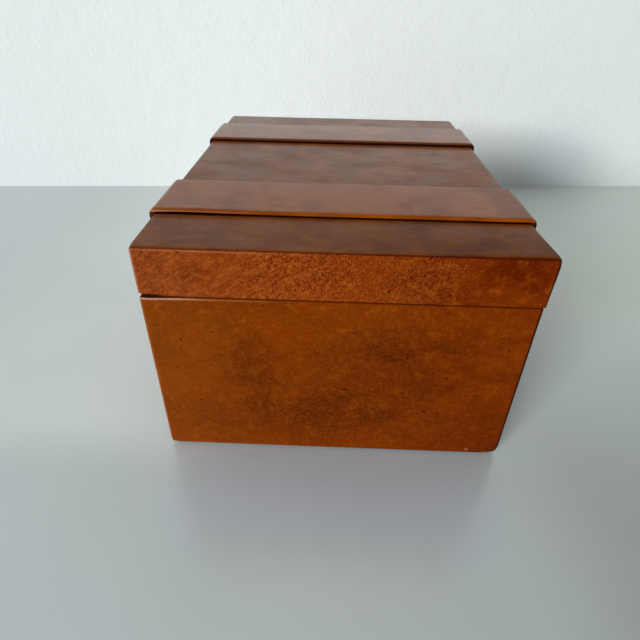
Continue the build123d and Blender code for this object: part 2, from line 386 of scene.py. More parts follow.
def rimPath(rim, way):  # over a rolled rim and down inside; way is +1 where the rim looks up
    roll, lip, inner = cover["rimRadius"], cover["lipRadius"], mouth + turnIn
    turned = way * (bodyTurnEnd if way > 0 else lidTurnEnd)
    top = way * rim
    path = [(0, top - step) for step in (4.6, 3.2, 2.2, 1.5)]
    path += arc(roll, top - roll, roll, 180, 90)
    path += [(inset, top) for inset in (1.5, 2.4, 3.6, 5.2, 6.8, 8.2, 9.0)]
    path += arc(inner - lip, top - lip, lip, 90, 0, 4)
    path += [(inner, top - step) for step in (1.2, 2.4, 4.0)]
    path += [(inner, turned + step) for step in (2.4, 1.2)]
    path += arc(inner - 0.3, turned + 0.3, 0.3, 0, -90, 3)
    return [(inset, way * height) for inset, height in path]


def gape(vertex, rim, way, amount):
    # Draws a rim back at the near front corner; way is +1 where the rim looks up
    alongY, alongX, alongZ = cover["gape"][2:]
    point = vertex.co
    share = falloff((point.y + halfDepth) / alongY) * falloff((halfLength - point.x) / alongX)
    point.z -= way * amount * share * falloff(abs(point.z - rim) / alongZ)


def weather(shape, wear, low, high, seed, top):
    # Works a crisp cover until it looks handled; the side on the wood stays put
    shape.normal_update()
    for vertex in outside(shape):
        point = vertex.co.copy()
        sway = (0.6 * ripple(point, 55, seed) + 0.3 * ripple(point, 17, seed + 4)
                + 0.12 * ripple(point, 5, seed + 9))
        inside = max(abs(point.x) - halfLength, abs(point.y) - halfDepth) < skin - mouth
        level = abs(vertex.normal.z) > 0.7 and vertex.normal.z * top <= 0
        steady = level or (inside and not top)
        point += vertex.normal * sway * cover["sway"] * (0.3 if steady else 1)
        for signs, radii, reach in wear:
            corner = (signs[0] * halfLength, signs[1] * halfDepth, high if signs[2] > 0 else low)
            point = wearCorner(point, corner, signs, radii, reach)
        vertex.co = point


def hingeCuts(low, high):  # windows for the leaves and grooves for the barrels
    air, cuts = cover["windowAir"], []
    for near, far in hinges.values():
        cuts.append(boxShape((near.x - air, near.y - air, low), (far.x + air, far.y + 6, high)))
        middle = ((near.x + far.x) / 2, pinY, pinZ)
        length = far.x - near.x + 2 * air + 2 * cover["barrelAir"]
        cuts.append(rodShape(middle, cover["barrelGroove"], length))
    return cuts


def bodyCover():
    foot, under = cover["footRadius"], cover["turnUnder"]
    path = [(inset, bodyFoot) for inset in (under, 11, 8, 5.6, 3.9)]
    path += arc(foot, bodyFoot + foot, foot, 270, 180, 8)
    path += [(0, bodyFoot + foot + step) for step in (0.7, 1.5, 2.4, 3.5, 4.8, 6.4, 8.3)]
    start, count = bodyFoot + foot + 10.6, 36
    path += [(0, start + (bodyRim - 6.2 - start) * i / count) for i in range(count + 1)]
    path += rimPath(bodyRim, 1)
    rings = [(inset, height, max(cover["corner"] - inset, 0.3)) for inset, height in path]
    woodRim = bodyRim - skin
    rings += [(inset, height, max(2.0 - inset, 0.3), "against") for inset, height in (
        (mouth, bodyTurnEnd), (mouth, woodRim), (skin, woodRim), (skin, 60), (skin, bodyFoot + skin),
        (under, bodyFoot + skin))]
    shape = loft(halfLength, halfDepth, rings, cover["counts"], capped=False)
    weather(shape, cover["bodyWear"], bodyFoot, bodyRim, seed=3.0, top=0)
    for vertex in outside(shape):
        gape(vertex, bodyRim, 1, cover["gape"][1])
    return carve(shape, hingeCuts(woodRim, bodyRim + 4))


def lidCover():
    edge, inner = cover["topRadius"], 12
    band = 4  # how much skin moves beside an edge
    path = [(inset, lidTop) for inset in (inner, 9.5, 7.2, 5.3, 3.9, 2.8)]
    path += arc(edge, lidTop - edge, edge, 90, 180, 8)
    start, end, count = lidTop - edge - 0.8, lidRim + 6.0, 9
    path += [(0, start - (start - end) * i / count) for i in range(count + 1)]
    path += rimPath(lidRim, -1)
    rings = [(inset, height, max(cover["corner"] - inset, 0.3 if height < lidTop else 0))
             for inset, height in path]
    woodRim = lidRim + skin
    rings += [(inset, height, corner, "against") for inset, height, corner in (
        (mouth, lidTurnEnd, 0.3), (mouth, woodRim, 0.3), (skin, woodRim, 0.8),
        (skin, lidTop - skin, 0.8), (inner, lidTop - skin, 0))]
    shape = loft(halfLength, halfDepth, rings, cover["counts"], capped=True)
    weather(shape, cover["lidWear"], lidRim, lidTop, seed=11.0, top=1)
    for vertex in outside(shape):  # the lid has crept out a little at the near end of the back
        gape(vertex, lidRim, -1, cover["gape"][0])
        x, y, z = vertex.co
        if z > lidTop - band:
            thick, alongX, alongY = cover["plump"]
            vertex.co.z += thick * falloff((halfLength - x) / alongX) * falloff((halfDepth - y) / alongY)
        if y > halfDepth - band:
            proud = falloff((halfLength - x) / cover["overhangReach"]) * falloff((z - lidTop + band) / 5)
            proud *= 1 - 0.4 * falloff((z - lidRim) / 24)
            vertex.co.y += cover["overhang"] * proud
    return carve(shape, hingeCuts(lidRim - 4, woodRim))


strapLook = {
    "edgeRadius": 0.6, "curlWide": 2.4, "curlHigh": 0.35, "endRadius": 6.0, "crown": 0.12,
    "lift": 0.7, "liftAt": -78.0, "liftReach": 22.0,  # of the right strap's outer edge, along y
    "sink": 0.12,  # into the lid's leather
    "gold": tone(137, 77, 36), "red": tone(119, 63, 28), "light": tone(156, 102, 62),
    "dark": tone(26, 5, 1), "edge": tone(158, 80, 8), "burnt": tone(122, 56, 6),
    "rubbedAndLit": tone(166, 108, 82), "far": tone(98, 50, 26),
}


def strapShape(node, lifted):
    low, high = span(node)
    half, middle = (high.x - low.x) / 2, (high.x + low.x) / 2
    thick, bend = high.z - lidTop, cover["topRadius"]
    radius, corner = strapLook["edgeRadius"], strapLook["endRadius"]
    curlWide, curlHigh = strapLook["curlWide"], strapLook["curlHigh"]

    # the line that the strap's underside follows to the middle, then mirrored:
    # y, z and the way out from the lid
    line = [(-halfDepth, low.z + step, -1, 0) for step in (0, 0.12, 0.35, 0.65, 1.0, 1.6, 2.4, 3.4,
                                                          4.6, 6.0, 8, 10.5, 13, 15.5, 18, 20.3)]
    turns = [math.pi / 2 * i / 10 for i in range(11)]
    line += [(-halfDepth + bend * (1 - math.cos(t)), lidTop - bend * (1 - math.sin(t)),
              -math.cos(t), math.sin(t)) for t in turns]
    reach, steps = halfDepth - bend, 45
    line += [(-reach + reach * i / steps, lidTop, 0, 1) for i in range(1, steps + 1)]
    line += [(-y, z, -ny, nz) for y, z, ny, nz in reversed(line[:-1])]

    # the section: across, and up from the underside
    rounded = arc(half - radius, thick - radius, radius, 0, 90)
    across = 22
    flat = [((half - radius) * (1 - 2 * i / across), thick) for i in range(1, across)]
    curl = [(half - curlWide + (curlWide - 0.3) * share, curlHigh * share ** 2)
            for share in (0, 0.25, 0.5, 0.75, 1)]
    curl += [(half - 0.1, curlHigh + 0.12), (half, curlHigh + 0.4)]
    section = curl + rounded + flat
    section += [(-x, n) for x, n in reversed(curl + rounded)]
    section += [((half - curlWide) * (2 * i / across - 1), 0) for i in range(1, across)]

    shape = bmesh.new()
    length = [0.0]
    for (y0, z0, _, _), (y1, z1, _, _) in zip(line, line[1:]):
        length.append(length[-1] + math.hypot(y1 - y0, z1 - z0))
    rows = []
    for travelled, (y, z, ny, nz) in zip(length, line):
        fromEnd = min(travelled, length[-1] - travelled)
        gone, pinch = [size - math.sqrt(max(size ** 2 - (size - min(fromEnd, size)) ** 2, 0))
                       for size in (corner, radius)]
        row = []
        for x, n in section:
            share = x / half
            up = n + strapLook["crown"] * (1 - share ** 2) * (n / thick)
            up = min(up, thick + 0.1 - pinch) if n > thick / 2 else up + 0.3 * pinch * (1 - n / thick)
            place = Vector((middle + share * (half - gone), y, z))
            sway = 0.10 * ripple((place.x, y, z), 21, middle) + 0.05 * ripple((place.x, y, z), 6, 5)
            if lifted:
                edge = max(0.0, (share - 0.35) / 0.65) ** 1.6
                along = math.exp(-((y - strapLook["liftAt"]) / strapLook["liftReach"]) ** 2)
                up += strapLook["lift"] * edge * along
            out = up - strapLook["sink"] + sway * (0.4 + 0.6 * n / thick)
            place.x += 0.22 * ripple((middle, y, z), 30, 2 + share) * abs(share)
            row.append(shape.verts.new(place + Vector((0, ny, nz)) * out))
        rows.append(row)
    bridge(shape, rows, ends=True)
    bmesh.ops.recalc_face_normals(shape, faces=shape.faces)
    return shape


bodyLook = {
    "gold": tone(121, 47, 0), "red": tone(104, 35, 0), "olive": tone(76, 31, 0),
    "light": tone(142, 68, 4), "wornAndLit": tone(160, 98, 58), "dark": tone(36, 7, 1),
    "inside": tone(128, 66, 22), "top": tone(128, 60, 10), "deep": tone(108, 34, 0),
    "rim": tone(184, 134, 106), "rimWornHighlightFar": tone(160, 92, 44),
    "line": tone(64, 14, 1), "stain": tone(64, 22, 0),
    "paintedSheen": tone(142, 73, 20), "fade": 0.3, "speck": tone(158, 93, 24), "shade": (0.94, 0.88, 0.6),
    "patch": 12.0, "clouding": 0.45, "bloom": 0.42, "glow": 0.45, "hingeSideShade": 0.6,
    "streak": 0.11, "wrinkle": 0.04, "crumb": 0.1, "dust": 0.22, "mottle": 0.12, "bare": 0.17,
    "pore": 0.4, "grain": 0.6, "rubAndHighlight": 0.4, "swell": 0.2,
    "crumbs": (halfLength, 40, 60, 90),  # a place where the grain stands out most, and how far
    "stains": [  # y, z, size and strength of broad dark stains on the near end
        (-45, 72, 11, 0.7), (28, 77, 11, 0.8), (57, 84, 11, 1.0), (-5, 76, 8, 0.6), (7, 45, 7, 0.8),
        (-11, 30, 17, 1.0), (-48, 55, 9, 0.8), (-43, 38, 8, 0.7), (53, 52, 10, 0.9), (21, 33, 10, 0.7),
        (40, 15, 7, 0.5), (97, 4, 11, 0.8)],
    "marks": [  # y, z, size and strength of dark flecks there
        (-82.5, 81.5, 0.8, 0.9), (-83.4, 75, 0.7, 0.8), (-87, 62, 0.8, 0.8), (-77, 38, 1.0, 0.9),
        (-38, 104, 0.8, 0.8), (-66, 87, 0.8, 0.7), (5, 50, 1.8, 0.8), (37, 74, 1.0, 0.8),
        (30, 58, 0.9, 0.7), (52, 64, 1.1, 0.8), (60, 61, 1.2, 0.8), (51, 35, 1.0, 0.9),
        (59, 34, 0.9, 0.9), (60, 32, 0.7, 0.8), (80, 76, 0.8, 0.8), (89, 81, 1.0, 0.8),
        (85, 86, 0.8, 0.7), (37, 54, 0.8, 0.6), (41, 49, 0.9, 0.6), (45, 44, 0.8, 0.6),
        (49.6, 106.6, 0.6, 0.8), (51.6, 105, 0.6, 0.8), (53.6, 103.5, 0.6, 0.7)],
    "topMarks": [],
    "scuffs": [(halfLength, 81, 4.5, 1.3), (halfLength - 0.4, 92, 2.0, 1.4)],  # x, y, z and size
}
lidLook = {
    "gold": tone(122, 47, 2), "red": tone(109, 35, 1), "olive": tone(88, 26, 0),
    "light": tone(150, 76, 8), "wornAndLit": tone(182, 118, 84), "dark": tone(36, 5, 1),
    "inside": tone(128, 66, 22), "top": tone(110, 61, 24), "deep": tone(102, 29, 0),
    "line": tone(64, 12, 1), "stain": tone(72, 10, 0),
    "paintedSheen": tone(142, 75, 40), "fade": 0.35, "speck": tone(188, 102, 38), "shade": (0.92, 0.83, 0.66),
    "patch": 16.0, "clouding": 0.45, "bloom": 0.6, "glow": 0.0, "hingeSideShade": 0.72,
    "streak": 0.08, "wrinkle": 0.34, "crumb": 0.5, "dust": 0.36, "mottle": 0.12, "bare": 0.36,
    "pore": 0.3, "grain": 0.8, "rubAndHighlight": 0.5, "swell": 0.1,
    "crumbs": (halfLength, 4, 118, 80),
    "stains": [(-72, 121, 7, 0.7), (-92, 127, 8, 0.4), (-14, 122, 6, 0.3), (27, 133, 8, 0.5),
               (36, 121, 10, 0.9), (82, 129, 13, 1.2), (99, 120, 7, 1.0), (50, 112, 8, 0.7)],
    "marks": [(23.3, 114.4, 1.0, 0.9), (33, 122.4, 1.3, 0.7), (53, 113.7, 1.0, 0.8),
              (-77, 132.4, 0.9, 0.9)],
    "topMarks": [(14, -54, 1.1, 0.8), (-6, 36, 1.2, 0.8), (125.7, 16.6, 1.0, 0.8)],  # x, y, size, strength
    "scuffs": [],
}


def leatherMasks(p, look, closed, rim):
    # Places on a cover and noises, which its tone, its wear and its gloss share
    m = SimpleNamespace(lid=closed > rim)
    overhang = cover["overhang"] if m.lid else 0
    crept = p.x.ramp(halfLength - cover["overhangReach"], halfLength) * p.y.ramp(90, 96) * overhang
    u, v = halfLength - abs(p.x), halfDepth - abs(p.y) + crept
    m.inset, m.upright = u.least(v), u.most(v)  # upright is the distance to a standing edge
    m.fromRim = abs(p.z - rim)
    m.fromClosed = ((closed - p.z) * (1 if m.lid else -1)).most(0)
    m.upper = (lidTop - p.z).ramp(0.75, 0.15)  # only the lid has a top
    m.side = 1 - m.upper
    m.opening = p.y.ramp(60, -60)  # the opening side, which hands wear and which faces the window lamp
    m.near = p.x.ramp(80, 125)
    m.gaping = p.y.ramp(-74, -98) * p.x.ramp(112, 134)  # where the rims have drawn apart
    if m.lid:  # painted shade on the lid's top along the straps' edges
        beside = abs(abs(p.x) - strapMiddle) - strapHalf
        m.tucked = (beside.ramp(3.4, 0.2) * 0.85).most(beside.ramp(1.6, 0.9)) * m.upper

    m.broad = p.cloud(64, 2)
    m.patch = p.cloud(look["patch"], 4, 0.62, where=p.stretch((0.55, 0.55, 1)), distortion=0.5)
    m.blot, m.mottle = p.cloud(6, 3, 0.6), p.cloud(2.6, 3, 0.6).ramp(0.3, 0.7)
    m.dust = p.cloud(0.75, 2, 0.65).ramp(0.32, 0.68)
    creased = p.cloud(1.6, 2, 0.6, distortion=0.5)
    m.crumbs = (1 - abs(creased - 0.5) * 11).clamp()  # thin pale creases that wander
    x, y, z, reach = look["crumbs"]
    crumbly = p.reach(x, y, z).ramp(reach, reach * 0.4) * 0.8 + m.broad.ramp(0.42, 0.6) * 0.4
    m.crumbly = crumbly.clamp() * m.side
    along = p.x + p.y
    slant = p.join(along * 0.2 + p.z * 0.14, along * -0.55 + p.z * 0.8, (p.x - p.y) * 0.12)
    m.wrinkle = p.cloud(1.5, 3, 0.65, where=slant, distortion=0.5).ramp(0.36, 0.66)
    return m


def dyed(p, look, m):  # the dye, uneven, stained and speckled, with painted shade and sheen over it
    colour = p.blend(m.broad.ramp(0.42, 0.58), look["gold"], look["red"])
    # Darker and redder towards +y, away from the window lamp, in patches: patchy dye and painted shade.
    deep = p.y.ramp(-10, 85) * look["hingeSideShade"] * m.patch.ramp(0.28, 0.58)
    colour = p.blend(deep, colour, look["deep"])
    middle = m.fromClosed.ramp(3, 24) * m.fromRim.ramp(2, 20)
    colour = p.blend(m.patch.ramp(0.44, 0.68) * middle * look["clouding"], colour, look["olive"])
    bloom = (1 - deep * 0.5) * (look["bloom"] + m.fromRim.ramp(26, 6) * look["glow"])
    colour = p.blend(m.blot.ramp(0.5, 0.72) * bloom, colour, look["light"])
    # Paler and bluer towards -y, the side facing the window lamp: a painted sheen, as strong as the fade
    # amount.
    colour = p.blend(p.y.ramp(-20, -100) * look["fade"], colour, look["paintedSheen"])

    flat, stained = 0.55, 0  # stains are wider than they are high
    wide = p.stretch((1, flat, 1))
    for y, z, size, strength in look["stains"]:
        ragged = p.reach(halfLength, y * flat, z, wide) + (m.blot - 0.5) * 16 + (m.mottle - 0.5) * 2
        stained = (ragged.ramp(size, size * 0.1) * strength).most(stained)
    colour = p.blend(stained * 0.42, colour, look["stain"])

    # The lid's top takes a darker, browner tone of its own, a shaded copy of the side leather: painted
    # shade. It is lighter over the far half and darker at the near right: painted light and shade.
    handled = p.cloud(26, 4, 0.65, distortion=0.4).ramp(0.36, 0.64)
    brushed = p.cloud(5, 4, 0.62, where=p.stretch((1, 0.4, 1)), distortion=0.4).ramp(0.3, 0.7)
    topLightAndShade = p.x.ramp(70, 30) * (0.25 + p.y.ramp(-60, 30) * 0.3) - m.near * p.y.ramp(0, 90) * 0.5
    top = p.vary(p.vary(look["top"], brushed, 0.13), handled + topLightAndShade, 0.22)
    colour = p.blend(m.upper * 0.9, colour, p.vary(top, m.dust, 0.07))

    streak = p.cloud(1.0, 3, 0.6, where=p.stretch((0.14, 0.14, 1)), distortion=0.4).ramp(0.3, 0.7)
    wrinkled = m.wrinkle * m.side * (0.3 + p.y.ramp(20, -60) * 0.7)
    # Pale specks in the grain over a darker ground: grain colour that also stands in for glints on the
    # grain, partly a painted highlight.
    speckle = (streak * look["streak"] + m.mottle * look["mottle"] + m.dust * look["dust"]
               + wrinkled * look["wrinkle"] + m.crumbs * m.crumbly * look["crumb"])
    speckle = (speckle - look["bare"]).clamp() * (m.side * 0.6 + 0.4) * (0.6 + m.near * 0.4)
    low = p.blend(0.35 + m.crumbly * 0.65, colour, p.tint(colour, look["shade"]))
    colour = p.blend(speckle, low, p.blend(deep, look["speck"], look["light"]))

    pores = p.cells(1.9).ramp(0.2, 0.1) * m.blot.ramp(0.6, 0.4)
    colour = p.blend(pores * look["pore"], colour, look["dark"])
    fleck = p.cells(11.0).ramp(0.06, 0.03)
    marks = [(halfLength, *mark) for mark in look["marks"]]
    marks += [(x, y, lidTop, *rest) for x, y, *rest in look["topMarks"]]
    for x, y, z, size, strength in marks:
        distance = p.reach(x, y, z) + m.dust * size * 0.6
        fleck = fleck.most(distance.ramp(1.3 * size, 0.7 * size) * strength)
    return p.blend(fleck * 0.85, colour, look["dark"])


def wornAndLit(p, look, m, colour):  # edge wear with painted highlights, painted shade on edges and in the seam, and the turned leather inside
    standing = m.upright.ramp(2.1, 0.8) * m.inset.ramp(1.3, 0.7) * m.side
    # Standing edges by the opening side, which faces the window lamp: wear and a painted highlight.
    rubbedAndLit = standing * m.opening * (m.blot * 2.4 - 0.2).clamp()
    colour = p.blend(rubbedAndLit * look["rubAndHighlight"], colour, look["wornAndLit"])
    # Standing edges away from the opening side, turned from the window lamp: painted shade.
    edgeShade = m.upright.ramp(2.0, 1.3) * (1 - m.opening) * m.side
    colour = p.blend(edgeShade * 0.8, colour, look["dark"])
    # A pale line along the closed edge towards -y, the lit side: wear and a painted highlight.
    crestHighlight = m.fromClosed.ramp(0.95, 1.2) * m.fromClosed.ramp(1.95, 1.5) * m.inset.ramp(0.7, 0.3)
    crestHighlight = crestHighlight * (m.patch * 2.2 - 0.4).clamp() * p.y.ramp(15, -90)
    colour = p.blend(crestHighlight * look["rubAndHighlight"], colour, look["wornAndLit"])
    roll = m.inset - m.fromClosed  # nought halfway round the closed edge
    # A dark line round the closed edge, deeper away from the opening side: a darkened edge and painted
    # shade.
    ridgeShade = roll.ramp(0.55, 0.2) * roll.ramp(-1.0, -0.6) * m.fromClosed.ramp(1.5, 1.1)
    colour = p.blend(ridgeShade * (0.85 - m.opening * 0.3), colour, look["line"])
    # The rims beside the seam between lid and body: painted shade, deeper where they gape.
    lip = (m.fromRim - m.gaping * 0.9).ramp(0.6, 0.2) * m.inset.ramp(9.6, 9.0)
    colour = p.blend(lip * (0.4 + m.gaping * m.inset.ramp(3.5, 1.0) * 0.5), colour, look["dark"])
    if m.lid:
        # painted shade on the lid's top beside the straps
        colour = p.blend(m.tucked, colour, look["dark"])
    else:  # a pale rim by the opening side: wear and a painted highlight
        below = m.fromRim - m.gaping * 0.5
        pale = below.ramp(0.3, 0.55) * below.ramp(1.8, 1.1) * p.y.ramp(-15, -85) * m.inset.ramp(0.9, 0.5)
        rimWornHighlight = p.blend(p.y.ramp(-60, -90), look["rimWornHighlightFar"], look["rim"])
        colour = p.blend(pale * (0.7 + m.mottle * 0.4).clamp(), colour, rimWornHighlight)
    for x, y, z, size in look["scuffs"]:
        pale = (p.reach(x, y, z) + m.dust * size * 0.5).ramp(1.3 * size, 0.6 * size)
        colour = p.blend(pale * 0.8, colour, look["wornAndLit"])
    inside = m.inset.ramp(8.4, 9.2) * m.fromClosed.ramp(4, 6)
    return p.blend(inside * 0.85, colour, p.vary(look["inside"], m.mottle, 0.12))


def leather(name, look, closed, rim):
    p = Paint(name)
    m = leatherMasks(p, look, closed, rim)
    dull = m.near * (0.18 + p.y.ramp(-80, 60) * 0.46)
    if m.lid:
        dull = dull.most(m.tucked)
    grain = m.crumbs * look["crumb"] * (0.3 + m.crumbly * 0.7) + m.dust * 0.5 + m.wrinkle * look["wrinkle"]
    normal = p.bump(p.cloud(14, 2), look["swell"])
    normal = p.bump(grain, 0.09 * look["grain"], normal)
    rough = (0.42 + m.blot * 0.16 - m.upper * 0.08 + m.dust * 0.08).most(0.25)
    haze = p.cloud(14, 3, 0.6, where=p.stretch((1, 0.5, 1))).ramp(0.3, 0.7)
    gloss = (m.upper + m.side * (1 - m.near) * 0.5) * (1 - haze * 0.4) * (1 - dull)
    return p.finish(Base_Color=wornAndLit(p, look, m, dyed(p, look, m)), Roughness=rough, Normal=normal,
                    Specular_IOR_Level=0.02, Coat_Weight=gloss, Coat_Roughness=0.2, Coat_IOR=1.2)


def strapLeather(name):
    p, look = Paint(name), strapLook
    edge = strapHalf - abs(abs(p.x) - strapMiddle)
    patch, blot, dust = p.cloud(40, 3, distortion=0.5), p.cloud(9, 3, 0.6), p.cloud(1.2, 3, 0.6)
    colour = p.blend(patch.ramp(0.4, 0.62), look["gold"], look["red"])
    colour = p.blend(blot.ramp(0.5, 0.75) * 0.4, colour, look["light"])
    streak = p.cloud(1.8, 3, 0.6, where=p.stretch((0.8, 0.16, 0.4)), distortion=0.6).ramp(0.3, 0.7)
    colour = p.vary(colour, streak, 0.12)
    colour = p.vary(colour, dust.ramp(0.3, 0.7), 0.1)
    colour = p.blend(p.cells(8.0).ramp(0.08, 0.03) * 0.7, colour, look["dark"])
    side = (edge + dust * 0.2).ramp(0.55, 0.3)
    near = p.x.ramp(-20, 20)  # the strap towards the right end of the box
    burnish = p.cloud(30, 2, where=p.stretch((0.2, 1, 0.2))).ramp(0.38, 0.62)
    rim = p.blend(burnish * 0.7, look["edge"], look["burnt"])
    # The lower edge towards -y, the lit side: wear and a painted highlight.
    rim = p.blend(p.y.ramp(-40, -85) * p.z.ramp(strapHigh.z - 0.9, strapHigh.z - 1.3), rim, look["rubbedAndLit"])
    # The edge is darker along its upper band. The strap towards the left end gets a darker, browner edge
    # all along: painted shade.
    rim = p.blend(p.z.ramp(strapHigh.z - 1.2, strapHigh.z - 0.7) * 0.35, rim, look["far"])
    rim = p.blend(near, look["far"], rim)
    # Dark along the bottom of the straps' edges, higher on the left strap: painted shadow beneath the
    # edge.
    under = (p.z - lidTop - (1 - near) * 0.7).ramp(0.75, 0.35)
    colour = p.blend(side, colour, p.blend(under * 0.9, rim, look["dark"]))
    normal = p.bump(p.cloud(11, 2), 0.25)
    normal = p.bump(dust, 0.07, normal)
    face = p.z.ramp(strapHigh.z - 0.9, strapHigh.z - 0.3) * (1 - side)
    haze = p.cloud(12, 3, 0.6, where=p.stretch((1, 0.25, 1))).ramp(0.3, 0.7)
    return p.finish(Base_Color=colour, Roughness=0.36 + blot * 0.14, Normal=normal,
                    Specular_IOR_Level=0.1, Coat_Weight=face * (1 - haze * 0.2) * (1 - near * 0.35),
                    Coat_Roughness=0.2, Coat_IOR=1.2)


suedeLook = {"light": tone(146, 112, 80), "dark": tone(130, 96, 67), "sheen": tone(214, 178, 140)}


def suede(name):
    p = Paint(name)
    nap, fibre = p.cloud(34, 3, 0.55), p.cloud(0.55, 4, 0.7)
    brushed = p.cloud(2.2, 3, 0.6, where=p.stretch((0.4, 1, 0.7)))
    colour = p.blend(nap.ramp(0.3, 0.7), suedeLook["light"], suedeLook["dark"])
    colour = p.vary(p.vary(colour, fibre, 0.28), brushed, 0.14)
    normal = p.bump(brushed, 0.12)
    normal = p.bump(fibre, 0.16, normal)
    return p.finish(Base_Color=colour, Roughness=0.9 + nap * 0.1, Normal=normal,
                    Sheen_Weight=0.35, Sheen_Roughness=0.5, Sheen_Tint=suedeLook["sheen"],
                    Specular_IOR_Level=0.2)


feltLook = {"dark": tone(58, 44, 34), "light": tone(76, 60, 46)}


def felt(name):
    p = Paint(name)
    lumps, fibre = p.cloud(5, 3), p.cloud(0.6, 4, 0.75, distortion=1.5)
    colour = p.blend(lumps.ramp(0.3, 0.7), feltLook["dark"], feltLook["light"])
    colour = p.vary(colour, fibre, 0.4)
    normal = p.bump(fibre, 0.22, p.bump(lumps, 0.1))
    return p.finish(Base_Color=colour, Roughness=0.95 + lumps * 0.05, Normal=normal,
                    Sheen_Weight=0.3, Specular_IOR_Level=0.15)


plyLook = {"pale": tone(206, 176, 132), "brown": tone(182, 146, 98), "fibre": tone(150, 112, 70)}


def plywood(name):
    p = Paint(name)
    fibres = p.cloud(1.4, 4, 0.6, where=p.stretch((0.05, 0.3, 1)))
    rings = p.cloud(9, 3, 0.5, where=p.stretch((0.06, 0.6, 1)), distortion=0.8)
    ply = p.add("ShaderNodeTexWave", {"bands_direction": "Z"},
                {"Vector": p.spot, "Scale": 0.2, "Distortion": 0.3}, 1)
    colour = p.blend(rings.ramp(0.35, 0.65), plyLook["pale"], plyLook["brown"])
    colour = p.blend(fibres.ramp(0.5, 0.8) * 0.5, colour, plyLook["fibre"])
    colour = p.tint(colour, 0.88 + ply * 0.2)
    return p.finish(Base_Color=colour, Roughness=0.6 + fibres * 0.2, Normal=p.bump(fibres, 0.08))


cardLook = {"pale": tone(172, 164, 148), "grey": tone(150, 142, 126), "fleck": tone(96, 88, 76)}


def card(name):
    p = Paint(name)
    pulp, flecks = p.cloud(0.8, 4, 0.7), p.cells(2.5)
    colour = p.blend(pulp.ramp(0.3, 0.7), cardLook["pale"], cardLook["grey"])
    colour = p.blend(flecks.ramp(0.12, 0.04) * 0.6, colour, cardLook["fleck"])
    return p.finish(Base_Color=colour, Roughness=0.85 + pulp * 0.1, Normal=p.bump(pulp, 0.05))


brassLook = {"bright": tone(214, 178, 104), "tarnish": tone(184, 140, 74), "spot": tone(116, 82, 44)}


def brass(name):
    p = Paint(name)
    tarnish, spots = p.cloud(4, 4, 0.6), p.cloud(1.1, 3, 0.7)
    scratch = p.cloud(0.35, 3, 0.6, where=p.stretch((0.05, 1, 1)))
    colour = p.blend(tarnish.ramp(0.35, 0.7), brassLook["bright"], brassLook["tarnish"])
    colour = p.blend(spots.ramp(0.58, 0.8) * 0.6, colour, brassLook["spot"])
    rough = 0.26 + tarnish * 0.16 + scratch * 0.1
    return p.finish(Base_Color=colour, Metallic=1.0, Roughness=rough,
                    Normal=p.bump(scratch, 0.012, p.bump(spots, 0.015)))


# Soft pieces, with counts as in cover
liningLook = {"edge": 0.42, "corner": 0.4, "swell": 0, "ripples": 0.06,
              "longCounts": (96, 30, 3), "endCounts": (72, 30, 3)}
padLook = {"edge": 1.1, "corner": 1.4, "swell": 0.45, "ripples": 0.14, "counts": (100, 72, 5)}
footLook = {"edge": 0.42, "corner": 5.0, "swell": 0, "ripples": 0.03, "counts": (90, 66, 8)}
swellReach = 7.0  # from the edge until the swell is two thirds whole


def slab(node, face, look, counts, seed):
    # A sheet with softly rounded edges in a node's place. face is the way that it looks:
    # an axis and a sign, and the other side lies flat against the wood.
    edge, corner, swell, ripples = look["edge"], look["corner"], look["swell"], look["ripples"]
    low, high = span(node)
    axis, sign = "xyz".index(face[1]), 1 if face[0] == "+" else -1
    first, second = [i for i in range(3) if i != axis]
    size = high - low
    middle = (low + high) / 2
    back = low[axis] if sign > 0 else high[axis]
    thick = size[axis]
    halfU, halfV = size[first] / 2, size[second] / 2

    def rounded(inset):  # a ring's corner, left square where it is too small to see
        return corner - inset if corner - inset > 0.03 else 0

    def place(u, v, h):
        point = [0, 0, 0]
        point[first], point[second] = middle[first] + u, middle[second] + v
        point[axis] = back + sign * h
        return Vector(point)

    rise = min(edge, thick * 0.7)
    rings = [(5, 0, 0, "against"), (0.3, 0, rounded(0.3)), (0.08, 0.1, corner), (0, 0.25, corner)]
    for turn in (math.pi / 12 * i for i in range(7)):
        inset = edge - edge * math.cos(turn)
        rings.append((inset, thick - rise + rise * math.sin(turn), rounded(inset)))
    rings += [(inset, thick, rounded(inset)) for inset in (1.5, 2.4, 3.6, 5.5, 8.0)
              if edge + 0.3 < inset < min(halfU, halfV) - 1]
    shape = loft(halfU, halfV, rings, counts, capped=True, place=place)
    for vertex in outside(shape):
        u, v = vertex.co[first] - middle[first], vertex.co[second] - middle[second]
        inset = min(halfU - abs(u), halfV - abs(v))
        h = (vertex.co[axis] - back) * sign
        if h < thick * 0.5:
            continue
        full = 1 - math.exp(-max(inset, 0) / swellReach)
        wave = ripples * (ripple(vertex.co, 34, seed) + 0.5 * ripple(vertex.co, 12, seed + 2))
        if not swell:  # a thin sheet keeps within its own thickness
            wave -= 1.5 * ripples
        vertex.co[axis] += sign * (swell * full + wave * min(inset / 2, 1))
    return shape


screwLook = {
    "head": 1.6, "dome": 0.1, "coneDeep": 0.92,
    "shank": 0.8, "plain": 3.0, "length": 9.0, "tip": 2.2,  # plain is how far down the thread starts
    "threadPitch": 1.1, "threadDeep": 0.2, "segments": 28,
    "slotWide": 0.42, "slotDeep": 0.38, "turns": (12, 74, 140, 33, 101, 58, 165, 88),
}
leafLook = {"weld": 0.01, "bevel": 0.12, "bevelFrom": 40}  # mm and degrees


